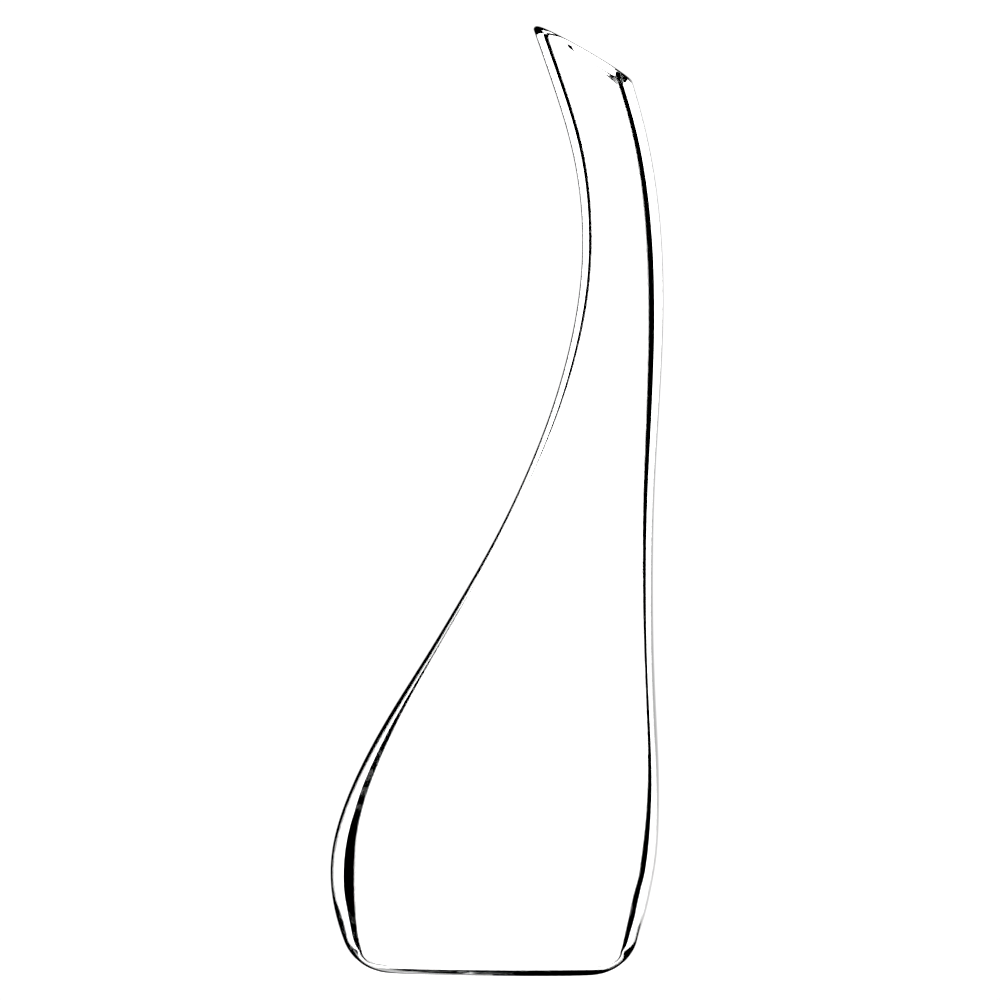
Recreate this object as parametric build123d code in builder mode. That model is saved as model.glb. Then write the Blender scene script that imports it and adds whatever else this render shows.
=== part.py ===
from build123d import *
from math import cos, radians, sin
import os

# Wine decanter: one piece of colourless glass, drawn out as a single S-curved horn.
# Millimetres, +Z up.  The origin is the middle of the flat base, +X is the side
# the neck swings to, and the shape is mirror-symmetric about the plane y = 0.

# --- overall sizes ---
height = 350.0  # resting plane to the tip of the lip
body_diameter = 118.2  # outside, at the widest part of the belly
neck_diameter = 28.3  # outside, at the narrowest part of the neck
neck_swing = 44.3  # how far the centre line swings towards +X

# --- base ---
heel_radius = 18.0  # outside rounding between wall and flat base
floor_thickness = 4.0  # glass under the inside floor
inner_heel_radius = 9.0  # inside rounding between wall and floor

# --- walls and mouth ---
wall_scale = 1.0  # multiplies every wall thickness in the table
mouth_fall = 29.3  # degrees the lip falls towards +X
lip_rounding = 1.1  # melted edge of the lip, inside and outside

# Round sections of the horn from the base up, each square to the centre line:
#   height, place along X, tilt in degrees, swell, wall on the -X side, wall on the +X side
# for a horn 351.3 mm tall whose neck swings 44.5 mm.  Swell runs from 0 at the neck's
# diameter to 1 at the body's.  The last section lies beyond the mouth.
stations = [
    (0.0, 0.0, 0.0, 0.795, 3.4, 4.8),
    (13.0, -1.5, -0.3, 0.891, 6.0, 5.4),
    (26.0, -2.1, -3.3, 0.971, 8.0, 6.2),
    (39.0, -1.0, -6.3, 1.0, 7.7, 5.8),
    (52.0, 1.9, -9.3, 0.981, 6.5, 5.6),
    (67.5, 6.2, -12.3, 0.916, 5.2, 5.1),
    (87.0, 11.7, -14.3, 0.798, 3.7, 4.3),
    (107.0, 16.7, -14.1, 0.656, 2.6, 3.7),
    (129.0, 22.0, -13.9, 0.506, 2.1, 3.5),
    (153.0, 27.8, -13.3, 0.358, 2.0, 3.6),
    (178.0, 33.3, -12.2, 0.232, 2.4, 3.8),
    (204.0, 38.5, -10.2, 0.135, 3.0, 4.2),
    (230.0, 42.5, -6.8, 0.070, 3.5, 4.8),
    (256.0, 44.5, -1.6, 0.028, 3.8, 5.2),
    (282.0, 43.6, 5.6, 0.006, 3.9, 5.1),
    (308.0, 39.3, 13.1, 0.0, 4.2, 4.9),
    (334.0, 31.5, 19.0, 0.002, 4.2, 5.0),
    (360.0, 22.2, 21.2, 0.003, 4.2, 5.0),
]

rise = height / 351.3
swing = neck_swing / 44.5
body_radius = body_diameter / 2
neck_radius = neck_diameter / 2


def section_plane(level, place, tilt):
    """Plane of one round section, its own X running across the horn."""
    angle = radians(tilt)
    return Plane(
        origin=(place, 0, level),
        x_dir=(cos(angle), 0, sin(angle)),
        z_dir=(-sin(angle), 0, cos(angle)),
    )


outer_sections = []
inner_sections = []
for level, place, tilt, swell, wall_left, wall_right in stations:
    radius = neck_radius + swell * (body_radius - neck_radius)
    bore = radius - wall_scale * (wall_left + wall_right) / 2
    offset = wall_scale * (wall_left - wall_right) / 2
    plane = section_plane(level * rise, place * swing, tilt)
    outer_sections.append((plane, radius))
    inner_sections.append((plane, bore, offset))

# the hollow stops at the inside floor, above the first outside section
inner_sections[0] = (Plane.XY.offset(floor_thickness),) + inner_sections[0][1:]

# the cut that makes the slanted mouth
mouth = section_plane(341.6 * rise, 29.0 * swing, -mouth_fall)

# the hollow inside, longer than the neck so that it opens at the mouth
with BuildPart() as hollow:
    for plane, bore, offset in inner_sections:
        with BuildSketch(plane):
            with Locations((offset, 0)):
                Circle(bore)
    loft()
    fillet(hollow.edges().group_by(Axis.Z)[0], inner_heel_radius)

# the glass: the outside of the horn less the hollow, cut off at the mouth
with BuildPart() as glass_vessel:
    for plane, radius in outer_sections:
        with BuildSketch(plane):
            Circle(radius)
    loft()
    fillet(glass_vessel.edges().group_by(Axis.Z)[0], heel_radius)
    add(hollow.part, mode=Mode.SUBTRACT)
    split(bisect_by=mouth, keep=Keep.BOTTOM)
    rim = glass_vessel.faces().sort_by_distance(mouth.origin)[0]
    fillet(rim.edges(), lip_rounding)

glass_vessel.part.label = "glass_vessel"

os.makedirs("parts", exist_ok=True)
export_step(glass_vessel.part, "parts/glass_vessel.step")
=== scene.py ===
import math

import bpy
import numpy as np
from mathutils import Matrix, Vector


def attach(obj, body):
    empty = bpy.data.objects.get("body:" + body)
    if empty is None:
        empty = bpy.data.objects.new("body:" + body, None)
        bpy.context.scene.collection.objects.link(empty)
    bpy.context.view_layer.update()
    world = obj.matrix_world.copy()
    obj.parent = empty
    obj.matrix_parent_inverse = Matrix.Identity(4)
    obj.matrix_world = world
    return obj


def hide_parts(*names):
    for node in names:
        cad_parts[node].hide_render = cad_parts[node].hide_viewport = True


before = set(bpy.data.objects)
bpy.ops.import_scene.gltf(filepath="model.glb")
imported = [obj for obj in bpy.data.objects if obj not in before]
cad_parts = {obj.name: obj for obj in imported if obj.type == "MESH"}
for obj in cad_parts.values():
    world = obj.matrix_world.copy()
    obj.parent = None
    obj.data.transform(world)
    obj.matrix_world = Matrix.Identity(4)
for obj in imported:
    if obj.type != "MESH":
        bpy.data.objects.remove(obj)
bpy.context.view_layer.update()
scene = bpy.context.scene
MM = 0.001

# ---------------------------------------------------------------- vessel, in millimetres

HEIGHT = 350.0  # resting plane to the tip of the lip
BODY_RADIUS = 59.1
NECK_RADIUS = 14.15
NECK_SWING = 44.3  # how far the centre line swings towards +X
HEEL_RADIUS = 18.0
FLOOR_THICKNESS = 4.0
INNER_HEEL_RADIUS = 9.0
MOUTH_FALL = 29.3  # degrees the lip falls towards +X
LIP_ROUNDING = 1.1

# Round sections of the horn from the base up, for a horn of TABLE_HEIGHT and TABLE_SWING:
# height, place along X, tilt, swell (0 neck to 1 body), wall on -X, wall on +X
TABLE_HEIGHT = 351.3
TABLE_SWING = 44.5
STATIONS = np.array([
    (0.0, 0.0, 0.0, 0.795, 3.4, 4.8),
    (13.0, -1.5, -0.3, 0.891, 6.0, 5.4),
    (26.0, -2.1, -3.3, 0.971, 8.0, 6.2),
    (39.0, -1.0, -6.3, 1.0, 7.7, 5.8),
    (52.0, 1.9, -9.3, 0.981, 6.5, 5.6),
    (67.5, 6.2, -12.3, 0.916, 5.2, 5.1),
    (87.0, 11.7, -14.3, 0.798, 3.7, 4.3),
    (107.0, 16.7, -14.1, 0.656, 2.6, 3.7),
    (129.0, 22.0, -13.9, 0.506, 2.1, 3.5),
    (153.0, 27.8, -13.3, 0.358, 2.0, 3.6),
    (178.0, 33.3, -12.2, 0.232, 2.4, 3.8),
    (204.0, 38.5, -10.2, 0.135, 3.0, 4.2),
    (230.0, 42.5, -6.8, 0.070, 3.5, 4.8),
    (256.0, 44.5, -1.6, 0.028, 3.8, 5.2),
    (282.0, 43.6, 5.6, 0.006, 3.9, 5.1),
    (308.0, 39.3, 13.1, 0.0, 4.2, 4.9),
    (334.0, 31.5, 19.0, 0.002, 4.2, 5.0),
    (360.0, 22.2, 21.2, 0.003, 4.2, 5.0),
])
MOUTH_PLACE, MOUTH_HEIGHT = 29.0, 341.6  # a point of the mouth cut, in the table's sizes

AROUND = 256  # points round each row of the mesh
OUTER_ROWS, INNER_ROWS = 210, 200
HEEL_ROWS, FLAT_ROWS, LIP_ROWS, CUT_ROWS = 15, 10, 9, 6
ANGLE = np.linspace(0, 2 * math.pi, AROUND, endpoint=False)
NUDGE = 0.01  # step along the wall, and a tenth of it round it, for slopes
HALVINGS = 50
HEEL_TOP = 60.0  # the heels end below this distance up the wall
NECK_SHARE = 0.6  # the mouth cut lies beyond this share of the wall


def spline(knots, values):
    """Natural cubic spline through values, one row per knot."""
    n = len(knots)
    h = np.diff(knots)
    a = np.zeros((n, n))
    b = np.zeros((n, values.shape[1]))
    a[0, 0] = a[-1, -1] = 1.0
    for i in range(1, n - 1):
        a[i, i - 1 : i + 2] = h[i - 1], 2 * (h[i - 1] + h[i]), h[i]
        rise_after = (values[i + 1] - values[i]) / h[i]
        rise_before = (values[i] - values[i - 1]) / h[i - 1]
        b[i] = 6 * (rise_after - rise_before)
    m = np.linalg.solve(a, b)

    def at(s):
        s = np.asarray(s, float)
        i = np.clip(np.searchsorted(knots, s) - 1, 0, n - 2)
        t0, t1 = (knots[i + 1] - s)[..., None], (s - knots[i])[..., None]
        w = h[i][..., None]
        bend = (m[i] * t0**3 + m[i + 1] * t1**3) / (6 * w)
        before = (values[i] / w - m[i] * w / 6) * t0
        after = (values[i + 1] / w - m[i + 1] * w / 6) * t1
        return bend + before + after

    return at


def wall(centres, radii, tilts):
    """Surface of round sections: at(s, angle) is a point, s running up the horn to its end."""
    s = np.r_[0, np.cumsum(np.hypot(*np.diff(centres, axis=0).T))]
    curve = spline(s, np.c_[centres, radii, tilts])

    def at(u, angle):
        c = curve(u)
        x = c[..., 0] + c[..., 2] * np.cos(angle) * np.cos(c[..., 3])
        z = c[..., 1] + c[..., 2] * np.cos(angle) * np.sin(c[..., 3])
        return np.stack([x, c[..., 2] * np.sin(angle), z], -1)

    return at, s[-1]


def unit(v):
    return v / np.linalg.norm(v, axis=-1, keepdims=True)


def normal(at, u, side):
    """Unit normal out of the glass; side is 1 on the outside and -1 in the hollow."""
    along = at(u + NUDGE, ANGLE) - at(u - NUDGE, ANGLE)
    around = at(u, ANGLE + NUDGE / 10) - at(u, ANGLE - NUDGE / 10)
    return side * unit(np.cross(around, along))


def solve(low, high, above):
    """For each angle, the place where above(u) turns from False to True."""
    low, high = np.full(AROUND, low), np.full(AROUND, high)
    for _ in range(HALVINGS):
        mid = (low + high) / 2
        up = above(mid)
        low, high = np.where(up, low, mid), np.where(up, mid, high)
    return (low + high) / 2


def heel(at, radius, level, side):
    """Rolling-ball rounding from the flat at this level up to a wall.

    Gives the place where the wall starts and the rows below it.
    """

    def ball(u):
        return at(u, ANGLE) - side * radius * normal(at, u, side)

    start = solve(0.0, HEEL_TOP, lambda u: ball(u)[:, 2] > level + radius)
    centre = ball(start)
    across = normal(at, start, side) * side
    down = np.array([0, 0, -1.0])
    turn = np.arccos(np.clip(-across[:, 2], -1, 1))
    bend = []
    for t in np.linspace(0, 1, HEEL_ROWS)[:-1]:
        from_flat = np.sin((1 - t) * turn)[:, None] * down
        to_wall = np.sin(t * turn)[:, None] * across
        bend.append(centre + radius * (from_flat + to_wall) / np.sin(turn)[:, None])
    return start, bend


def climb(at, first, last, count):
    """Rows up a wall; they lean from the flat base to the slanted mouth as they rise."""
    return [at(first + (last - first) * t, ANGLE) for t in np.linspace(0, 1, count)]


def between_rows(start, end, count):
    """Rows strictly between two rows, or a point and a row, spaced evenly."""
    return [start + (end - start) * t for t in np.linspace(0, 1, count)[1:-1]]


class Lip:
    """Where a wall meets the mouth cut, and the melted edge that rounds the corner."""

    def __init__(self, at, end, side):
        self.at = at
        self.cut = solve(
            end * NECK_SHARE, end, lambda u: (at(u, ANGLE) - mouth_point) @ mouth_normal > 0
        )
        self.corner = at(self.cut, ANGLE)
        self.edge = unit(np.roll(self.corner, -1, 0) - np.roll(self.corner, 1, 0))
        lean = np.arccos(np.clip(normal(at, self.cut, side) @ mouth_normal, -1, 1))
        self.reach = LIP_ROUNDING * np.tan(lean / 2)
        run = unit(at(self.cut - NUDGE, ANGLE) - at(self.cut + NUDGE, ANGLE))
        self.stop = self.cut - self.reach / self.skew(run)

    def skew(self, direction):
        return np.linalg.norm(np.cross(direction, self.edge), axis=1)

    def rounding(self, toward):
        """Rows of the rounded edge, from the wall to the cut face that runs toward a corner."""
        face = unit(toward - self.corner)
        flat = self.corner + face * (self.reach / self.skew(face))[:, None]
        below = self.at(self.stop, ANGLE)
        weight = np.cos(np.arctan(self.reach / LIP_ROUNDING))[:, None]
        return [
            conic(below, self.corner, flat, weight, t) for t in np.linspace(0, 1, LIP_ROWS)
        ]


def conic(a, corner, b, weight, t):
    w0, w1, w2 = (1 - t) ** 2, 2 * t * (1 - t) * weight, t**2
    return (w0 * a + w1 * corner + w2 * b) / (w0 + w1 + w2)


place = np.c_[STATIONS[:, 1] * NECK_SWING / TABLE_SWING, STATIONS[:, 0] * HEIGHT / TABLE_HEIGHT]
tilt = np.radians(STATIONS[:, 2])
outer_radius = NECK_RADIUS + STATIONS[:, 3] * (BODY_RADIUS - NECK_RADIUS)
inner_radius = outer_radius - (STATIONS[:, 4] + STATIONS[:, 5]) / 2
shift = (STATIONS[:, 4] - STATIONS[:, 5]) / 2
inner_place = place + np.c_[np.cos(tilt), np.sin(tilt)] * shift[:, None]
inner_place[0] = shift[0], FLOOR_THICKNESS

outer, outer_end = wall(place, outer_radius, tilt)
inner, inner_end = wall(inner_place, inner_radius, tilt)

fall = math.radians(MOUTH_FALL)
mouth_point = np.array(
    [MOUTH_PLACE * NECK_SWING / TABLE_SWING, 0, MOUTH_HEIGHT * HEIGHT / TABLE_HEIGHT]
)
mouth_normal = np.array([math.sin(fall), 0, math.cos(fall)])

# rows from the middle of the base, up the outside, over the lip and down the hollow
base_middle = np.array([0.0, 0.0, 0.0])
floor_middle = np.array([shift[0], 0.0, FLOOR_THICKNESS])
outer_start, outer_heel = heel(outer, HEEL_RADIUS, 0.0, 1)
inner_start, inner_heel = heel(inner, INNER_HEEL_RADIUS, FLOOR_THICKNESS, -1)
outer_lip = Lip(outer, outer_end, 1)
inner_lip = Lip(inner, inner_end, -1)

rows = between_rows(base_middle, outer_heel[0], FLAT_ROWS)
rows += outer_heel
rows += climb(outer, outer_start, outer_lip.stop, OUTER_ROWS)[:-1]
wall_end = len(rows) * AROUND
over_lip = outer_lip.rounding(inner_lip.corner)
into_hollow = inner_lip.rounding(outer_lip.corner)[::-1]
rows += over_lip + between_rows(over_lip[-1], into_hollow[0], CUT_ROWS) + into_hollow
lip_end = len(rows) * AROUND
rows += climb(inner, inner_start, inner_lip.stop, INNER_ROWS)[::-1][1:]
rows += inner_heel[::-1]
rows += between_rows(floor_middle, inner_heel[0], FLAT_ROWS)[::-1]

points = np.concatenate(rows + [base_middle[None], floor_middle[None]]) * MM
last_row = (len(rows) - 1) * AROUND
base_point, floor_point = len(points) - 2, len(points) - 1
faces = []
for k in range(AROUND):
    m = (k + 1) % AROUND
    for r in range(0, last_row, AROUND):
        faces.append((r + k, r + m, r + AROUND + m, r + AROUND + k))
    faces.append((m, k, base_point))
    faces.append((last_row + k, last_row + m, floor_point))

mesh = bpy.data.meshes.new("decanter_glass")
mesh.from_pydata(points.tolist(), [], faces)
mesh.update()
mesh.shade_smooth()
glass = bpy.data.objects.new("decanter_glass", mesh)
scene.collection.objects.link(glass)

# how far the painted dark line spreads (painted shade at glancing angles): a line on the outside,
# finer on the belly, broad on the lip, and none in the hollow
BELLY_LINE, NECK_LINE, LIP_LINE = 0.92, 1.0, 2.3
BELLY_TOP, NECK_FROM = 0.05, 0.09  # heights in metres
painted_outline = np.zeros(len(points), np.float32)
painted_outline[:wall_end] = np.interp(
    points[:wall_end, 2], (BELLY_TOP, NECK_FROM), (BELLY_LINE, NECK_LINE)
)
painted_outline[wall_end:lip_end] = LIP_LINE
mesh.attributes.new("painted_outline", "FLOAT", "POINT").data.foreach_set("value", painted_outline)

# ---------------------------------------------------------------- node helpers


def node(tree, kind, **props):
    n = tree.nodes.new(kind)
    for name, value in props.items():
        setattr(n, name, value)
    return n


def plug(tree, value, socket):
    """Link a socket, or set a plain value."""
    if isinstance(value, bpy.types.NodeSocket):
        tree.links.new(value, socket)
    else:
        socket.default_value = value


def math_node(tree, op, *inputs):
    n = node(tree, "ShaderNodeMath", operation=op)
    for value, socket in zip(inputs, n.inputs):
        plug(tree, value, socket)
    return n.outputs[0]


def times(tree, first, *others):
    for value in others:
        first = math_node(tree, "MULTIPLY", first, value)
    return first


def brightest(tree, first, *others):
    for value in others:
        first = math_node(tree, "MAXIMUM", first, value)
    return first


def inverse(tree, value):
    return math_node(tree, "SUBTRACT", 1.0, value)


def ramp(tree, value, low, high, at_low=0.0, at_high=1.0):
    n = node(tree, "ShaderNodeMapRange", interpolation_type="SMOOTHSTEP")
    for v, socket in zip((value, low, high, at_low, at_high), n.inputs):
        plug(tree, v, socket)
    return n.outputs[0]


def choose(tree, which, zero, one):
    """zero where which is 0, one where it is 1."""
    n = node(tree, "ShaderNodeMix", data_type="FLOAT")
    for value, socket in zip((which, zero, one), (n.inputs[0], n.inputs[2], n.inputs[3])):
        plug(tree, value, socket)
    return n.outputs[0]


# ---------------------------------------------------------------- glass


def noise(tree, vector, scale, detail):
    n = node(tree, "ShaderNodeTexNoise")
    n.inputs["Scale"].default_value = scale
    n.inputs["Detail"].default_value = detail
    tree.links.new(vector, n.inputs["Vector"])
    return n.outputs["Fac"]


def bump(tree, height, distance):
    n = node(tree, "ShaderNodeBump")
    n.inputs["Strength"].default_value = 1.0
    n.inputs["Distance"].default_value = distance
    tree.links.new(height, n.inputs["Height"])
    return n


def clear_glass():
    """Colourless hand-blown glass, with a painted dark line where it is met at a glancing angle."""
    mat = bpy.data.materials.new("clear_glass")
    mat.use_nodes = True
    tree = mat.node_tree
    shader = tree.nodes["Principled BSDF"]
    shader.inputs["Transmission Weight"].default_value = 1.0
    shader.inputs["IOR"].default_value = 1.52
    shader.inputs["Roughness"].default_value = 0.0

    # painted shade: the base colour turns dark where the glass is met at a glancing angle, painting
    # a dark line round clear glass
    facing = node(tree, "ShaderNodeLayerWeight").outputs["Facing"]
    spread = node(tree, "ShaderNodeAttribute", attribute_name="painted_outline").outputs["Fac"]
    painted_edge_shade = ramp(tree, times(tree, facing, spread), 0.66, 0.79, 1.0, 0.0)
    grey = node(tree, "ShaderNodeCombineColor")
    for socket in grey.inputs[:3]:
        tree.links.new(painted_edge_shade, socket)
    # the painted shade goes into the base colour
    tree.links.new(grey.outputs[0], shader.inputs["Base Color"])

    # slow waves, and fine cords drawn up the wall
    where = node(tree, "ShaderNodeTexCoord").outputs["Object"]
    stretch = node(tree, "ShaderNodeMapping")
    stretch.inputs["Scale"].default_value = (1.0, 1.0, 0.04)
    tree.links.new(where, stretch.inputs["Vector"])
    waves = bump(tree, noise(tree, where, 16.0, 1.0), 0.00003)
    cords = bump(tree, noise(tree, stretch.outputs[0], 450.0, 2.0), 0.000001)
    tree.links.new(waves.outputs[0], cords.inputs["Normal"])
    tree.links.new(cords.outputs[0], shader.inputs["Normal"])

    # a breath of grey where the glass is thick
    volume = node(tree, "ShaderNodeVolumeAbsorption")
    volume.inputs["Color"].default_value = (0.86, 0.9, 0.89, 1)
    volume.inputs["Density"].default_value = 3.0
    tree.links.new(volume.outputs[0], tree.nodes["Material Output"].inputs["Volume"])
    return mat


mesh.materials.append(clear_glass())
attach(glass, "root")
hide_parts("glass_vessel")

# ---------------------------------------------------------------- floor


def pale_floor():
    """Matt white that glows a little, so that it meets the white behind it."""
    mat = bpy.data.materials.new("floor")
    mat.use_nodes = True
    shader = mat.node_tree.nodes["Principled BSDF"]
    shader.inputs["Base Color"].default_value = (0.9, 0.9, 0.9, 1)
    shader.inputs["Roughness"].default_value = 0.9
    shader.inputs["Emission Color"].default_value = (1, 1, 1, 1)
    shader.inputs["Emission Strength"].default_value = 0.9
    return mat


FLOOR_RADIUS = 0.27
FLOOR_GAP = 0.0002  # keeps the floor clear of the base

bpy.ops.mesh.primitive_circle_add(
    vertices=128, radius=FLOOR_RADIUS, fill_type="NGON", location=(0, 0, -FLOOR_GAP)
)
floor = bpy.context.object
floor.name = "floor"
floor.data.materials.append(pale_floor())
floor.visible_transmission = False
floor.visible_glossy = False

# ---------------------------------------------------------------- light

BACKLIGHT = 3.5  # lit areas, seen through the glass
GLANCE = 1.2  # parts of the sheet, mirrored off the glass
PIPED = 2.5  # light from below, led up inside the wall
WHITE = 1.05  # what the camera sees behind the decanter


def glow(tree, light, mirrored, piped):
    """Strength of a lamp: seen through the glass, mirrored off it, or piped inside its wall."""
    path = node(tree, "ShaderNodeLightPath")
    trapped = times(
        tree,
        math_node(tree, "LESS_THAN", path.outputs["Transmission Depth"], 2.5),
        math_node(tree, "GREATER_THAN", path.outputs["Ray Depth"], 3.5),
    )
    direct = choose(tree, path.outputs["Is Reflection Ray"], light, mirrored)
    return choose(tree, trapped, direct, piped)


def studio():
    """White to the camera; to the glass, softboxes with darkness between them."""
    world = bpy.data.worlds.new("studio")
    world.use_nodes = True
    tree = world.node_tree
    tree.nodes.clear()
    direction = node(tree, "ShaderNodeSeparateXYZ")
    generated = node(tree, "ShaderNodeTexCoord").outputs["Generated"]
    tree.links.new(generated, direction.inputs[0])
    x, y, z = direction.outputs
    degrees = 180 / math.pi
    azimuth = times(tree, math_node(tree, "ARCTAN2", x, y), degrees)
    elevation = times(tree, math_node(tree, "ARCSINE", z), degrees)
    down = times(tree, elevation, -1.0)

    def over(value, limit):
        """1 where value is over limit, 0 under it, with a soft edge 2 degrees wide."""
        return ramp(tree, math_node(tree, "SUBTRACT", value, limit), -1.0, 1.0)

    def between(value, low, high):
        return times(tree, over(value, low), inverse(tree, over(value, high)))

    # softboxes at the side, rear corner, floor and ceiling
    softboxes = brightest(
        tree,
        between(azimuth, -118.0, -62.0),
        between(azimuth, 104.0, 166.0),
        times(tree, over(down, 20.0), over(math_node(tree, "ABSOLUTE", azimuth), 38.0)),
        over(elevation, 65.0),
    )
    piped = brightest(
        tree,
        times(tree, over(down, 45.0), 0.6),
        times(tree, over(down, 30.0), between(azimuth, -25.0, 25.0), PIPED),
    )
    seen_by_glass = node(tree, "ShaderNodeBackground")
    seen_by_glass.inputs["Color"].default_value = (1, 1, 1, 1)
    strength = glow(tree, times(tree, softboxes, BACKLIGHT), 0.0, piped)
    tree.links.new(strength, seen_by_glass.inputs["Strength"])
    seen_by_camera = node(tree, "ShaderNodeBackground")
    seen_by_camera.inputs["Color"].default_value = (1, 1, 1, 1)
    seen_by_camera.inputs["Strength"].default_value = WHITE
    mix = node(tree, "ShaderNodeMixShader")
    path = node(tree, "ShaderNodeLightPath")
    tree.links.new(path.outputs["Is Camera Ray"], mix.inputs[0])
    tree.links.new(seen_by_glass.outputs[0], mix.inputs[1])
    tree.links.new(seen_by_camera.outputs[0], mix.inputs[2])
    tree.links.new(mix.outputs[0], node(tree, "ShaderNodeOutputWorld").inputs[0])
    return world


scene.world = studio()

# the lit sheet close behind the decanter, hidden from the camera; corners in millimetres
SHEET_BACK = 131.0
SHEET = [
    (-90, -84), (90, -84), (122, -50), (143, 0), (143, 45), (161, 326), (165, 425),
    (-85, 425), (-85, 170), (-147, 60), (-140, 0), (-112, -42),
]


def lit_sheet():
    """Even light; only parts of the sheet are mirrored off the glass or piped up its wall."""
    mat = bpy.data.materials.new("backdrop")
    mat.use_nodes = True
    tree = mat.node_tree
    tree.nodes.clear()
    where = node(tree, "ShaderNodeSeparateXYZ")
    tree.links.new(node(tree, "ShaderNodeTexCoord").outputs["Object"], where.inputs[0])
    across, _, up = where.outputs
    right_half = math_node(tree, "GREATER_THAN", across, 0.0)
    gleam = choose(
        tree, right_half,
        math_node(tree, "LESS_THAN", up, -0.035),
        math_node(tree, "GREATER_THAN", up, 0.005),
    )
    foot = times(tree, math_node(tree, "LESS_THAN", up, -0.045), PIPED)
    lamp = node(tree, "ShaderNodeEmission")
    tree.links.new(glow(tree, BACKLIGHT, times(tree, gleam, GLANCE), foot), lamp.inputs["Strength"])
    tree.links.new(lamp.outputs[0], node(tree, "ShaderNodeOutputMaterial").inputs[0])
    return mat


sheet_mesh = bpy.data.meshes.new("backdrop")
sheet_points = [(x * MM, SHEET_BACK * MM, z * MM) for x, z in SHEET]
sheet_mesh.from_pydata(sheet_points, [], [range(len(SHEET))])
sheet_mesh.materials.append(lit_sheet())
sheet = bpy.data.objects.new("backdrop", sheet_mesh)
scene.collection.objects.link(sheet)
sheet.visible_camera = False

# ---------------------------------------------------------------- camera

CAMERA_BACK, CAMERA_HEIGHT = 2.6, 0.054
AIM_ACROSS, AIM_HEIGHT = 0.0003, 0.1743
FRAME_WIDTH = 0.3686  # what the frame spans at the decanter
CAMERA_ROLL = 0.7  # degrees
SENSOR = 36

look = Vector((0, CAMERA_BACK, AIM_HEIGHT - CAMERA_HEIGHT))
roll = Matrix.Rotation(math.radians(CAMERA_ROLL), 3, "Z")
camera_data = bpy.data.cameras.new("camera")
camera_data.sensor_width = SENSOR
camera_data.lens = SENSOR * look.length / FRAME_WIDTH
camera_data.clip_start, camera_data.clip_end = 0.1, 50
camera = bpy.data.objects.new("camera", camera_data)
scene.collection.objects.link(camera)
camera.location = (AIM_ACROSS, -CAMERA_BACK, CAMERA_HEIGHT)
camera.rotation_mode = "QUATERNION"
aim = look.to_track_quat("-Z", "Y").to_matrix()
camera.rotation_quaternion = (aim @ roll).to_quaternion()
scene.camera = camera

# clear glass needs deep light paths, and black and white that stay so
BOUNCES = 32
scene.view_settings.view_transform = "Standard"
scene.cycles.max_bounces = BOUNCES
scene.cycles.transmission_bounces = BOUNCES
scene.cycles.glossy_bounces = BOUNCES
scene.cycles.transparent_max_bounces = BOUNCES
scene.cycles.caustics_reflective = True
scene.cycles.caustics_refractive = True
